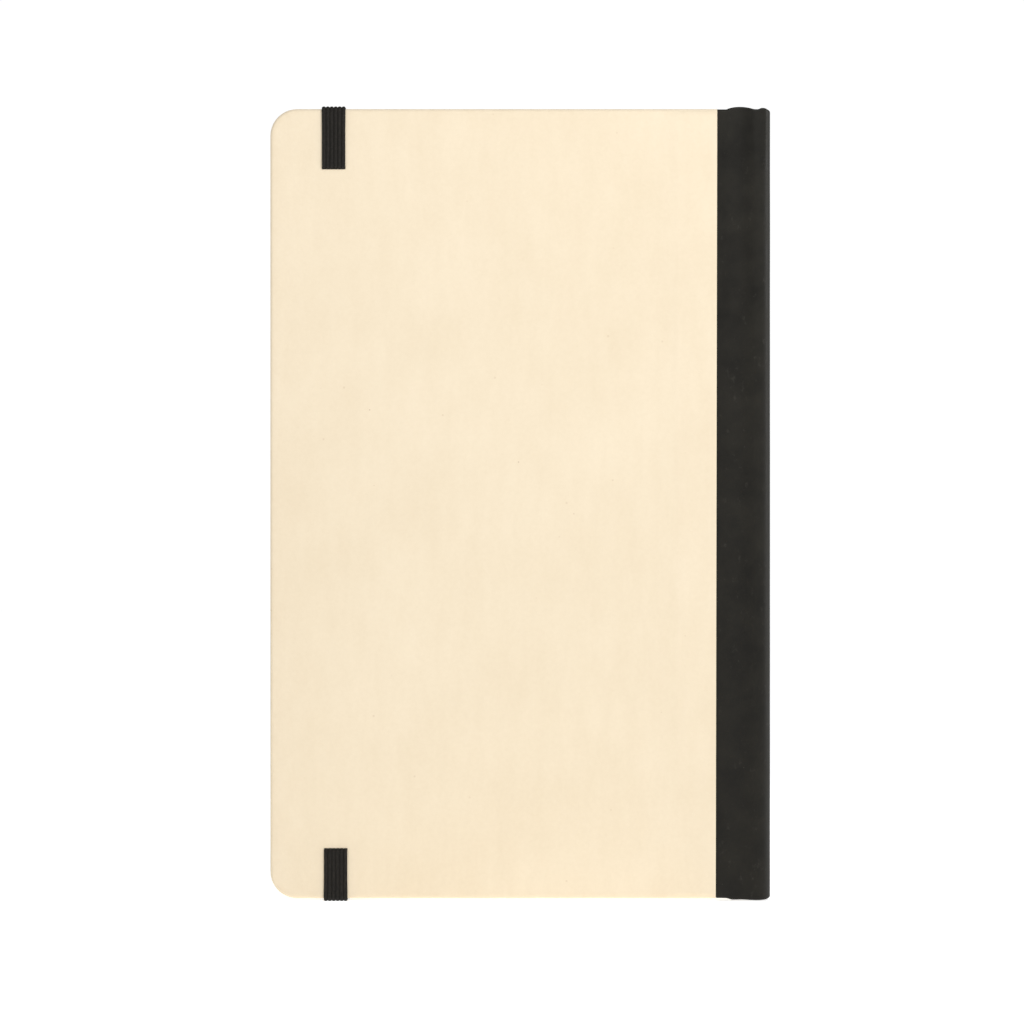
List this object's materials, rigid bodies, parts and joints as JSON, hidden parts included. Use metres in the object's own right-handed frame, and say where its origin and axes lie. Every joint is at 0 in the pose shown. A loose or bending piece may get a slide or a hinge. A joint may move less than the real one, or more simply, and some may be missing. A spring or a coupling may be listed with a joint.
{
  "type": "pocket notebook",
  "caption": "Pocket notebook with cream hard covers, a black cloth spine, an elastic closure band, sewn sections and a pocket inside the back cover.",
  "frame": {"origin": "on the ground plane, under the middle of the closed notebook as it stands on its tail", "axes": "+Z from the tail to the head, +X from the fore edge to the spine, +Y from the back cover to the front cover, so the back cover faces -Y"},
  "size_m": [0.09, 0.0162, 0.143],
  "materials": {
    "cover_paper": "matte uncoated cream cover paper",
    "spine_cloth": "black coated book cloth with a soft sheen",
    "greyboard": "raw grey binder's board",
    "page_paper": "matte ivory writing paper",
    "mull": "open cotton gauze",
    "brown_paper": "brown lining paper",
    "thread": "twisted cotton thread",
    "pocket_cloth": "thin black pocket cloth",
    "elastic": "black braided flat elastic with lengthwise ribs"
  },
  "bodies": {
    "text_block": {"section_05": "page_paper", "section_06": "page_paper", "section_07": "page_paper", "section_08": "page_paper", "section_09": "page_paper", "section_10": "page_paper", "section_11": "page_paper", "section_12": "page_paper", "section_01_fold": "page_paper", "section_02_fold": "page_paper", "section_03_fold": "page_paper", "section_04_fold": "page_paper", "front_flyleaf_fold": "page_paper", "back_flyleaf_fold": "page_paper", "spine_mull": "mull", "spine_liner": "brown_paper", "spine_strip": "greyboard", "tape_on_spine": "spine_cloth", "head_band": "spine_cloth", "tail_band": "spine_cloth", "sewing_thread_1": "thread", "sewing_thread_2": "thread", "sewing_thread_3": "thread", "sewing_thread_4": "thread", "front_joint_cloth": "spine_cloth", "back_joint_cloth": "spine_cloth"},
    "front_cover": {"front_cover_paper": "cover_paper", "front_board": "greyboard", "tape_on_front_board": "spine_cloth", "front_pastedown": "page_paper"},
    "back_cover": {"back_cover_paper": "cover_paper", "back_board": "greyboard", "tape_on_back_board": "spine_cloth", "back_pastedown": "page_paper", "elastic_end_head": "elastic", "elastic_end_tail": "elastic", "pocket_edge_strip": "pocket_cloth", "pocket_gusset_head": "pocket_cloth", "pocket_gusset_tail": "pocket_cloth"},
    "pocket_panel": {"pocket_panel": "page_paper"},
    "front_flyleaf": {"front_flyleaf": "page_paper"},
    "section_01": {"section_01_leaves": "page_paper"},
    "section_02": {"section_02_leaves": "page_paper"},
    "section_03": {"section_03_leaves": "page_paper"},
    "section_04": {"section_04_leaves": "page_paper"},
    "back_flyleaf": {"back_flyleaf": "page_paper"},
    "elastic_band": {"elastic_loop": "elastic"}
  },
  "joints": [
    {"name": "front_cover_hinge", "type": "hinge", "parent": "text_block", "child": "front_cover", "pos_m": [0.0412, 0.0063, 0.07149], "axis": [0, 0, -1], "range_deg": [0, 178], "deforming": ["front_joint_cloth"]},
    {"name": "back_cover_hinge", "type": "hinge", "parent": "text_block", "child": "back_cover", "pos_m": [0.0412, -0.0063, 0.07149], "axis": [0, 0, 1], "range_deg": [0, 178], "deforming": ["back_joint_cloth"]},
    {"name": "front_flyleaf_turn", "type": "hinge", "parent": "text_block", "child": "front_flyleaf", "pos_m": [0.0412, 0.00475, 0.07149], "axis": [0, 0, -1], "range_deg": [0, 88]},
    {"name": "section_01_turn", "type": "hinge", "parent": "text_block", "child": "section_01", "pos_m": [0.0402, 0.0043, 0.07149], "axis": [0, 0, -1], "range_deg": [0, 75.4]},
    {"name": "section_02_turn", "type": "hinge", "parent": "text_block", "child": "section_02", "pos_m": [0.0392, 0.00363, 0.07149], "axis": [0, 0, -1], "range_deg": [0, 59.3]},
    {"name": "section_03_turn", "type": "hinge", "parent": "text_block", "child": "section_03", "pos_m": [0.0382, 0.00295, 0.07149], "axis": [0, 0, -1], "range_deg": [0, 42.3]},
    {"name": "section_04_turn", "type": "hinge", "parent": "text_block", "child": "section_04", "pos_m": [0.0372, 0.00227, 0.07149], "axis": [0, 0, -1], "range_deg": [0, 23.5]},
    {"name": "back_flyleaf_turn", "type": "hinge", "parent": "text_block", "child": "back_flyleaf", "pos_m": [0.0412, -0.00362, 0.07149], "axis": [0, 0, 1], "range_deg": [0, 21.8]},
    {"name": "pocket_open", "type": "hinge", "parent": "back_cover", "child": "pocket_panel", "pos_m": [-0.041, -0.0045, 0.07149], "axis": [0, 0, 1], "range_deg": [0, 8], "deforming": ["pocket_gusset_head", "pocket_gusset_tail"]},
    {"name": "elastic_release", "type": "hinge", "parent": "back_cover", "child": "elastic_band", "pos_m": [-0.0334, -0.00787, 0.07149], "axis": [0, 0, 1], "range_deg": [0, 179], "deforming": ["elastic_loop"]}
  ],
  "couplings": [
    {"joint": "front_flyleaf_turn", "follows": "front_cover_hinge", "ratio": 0.49},
    {"joint": "section_01_turn", "follows": "front_cover_hinge", "ratio": 0.42},
    {"joint": "section_02_turn", "follows": "front_cover_hinge", "ratio": 0.33},
    {"joint": "section_03_turn", "follows": "front_cover_hinge", "ratio": 0.235},
    {"joint": "section_04_turn", "follows": "front_cover_hinge", "ratio": 0.13},
    {"joint": "elastic_release", "follows": "front_cover_hinge", "ratio": 1},
    {"joint": "back_flyleaf_turn", "follows": "back_cover_hinge", "ratio": 0.12},
    {"joint": "pocket_open", "follows": "back_cover_hinge", "ratio": 0.041}
  ]
}
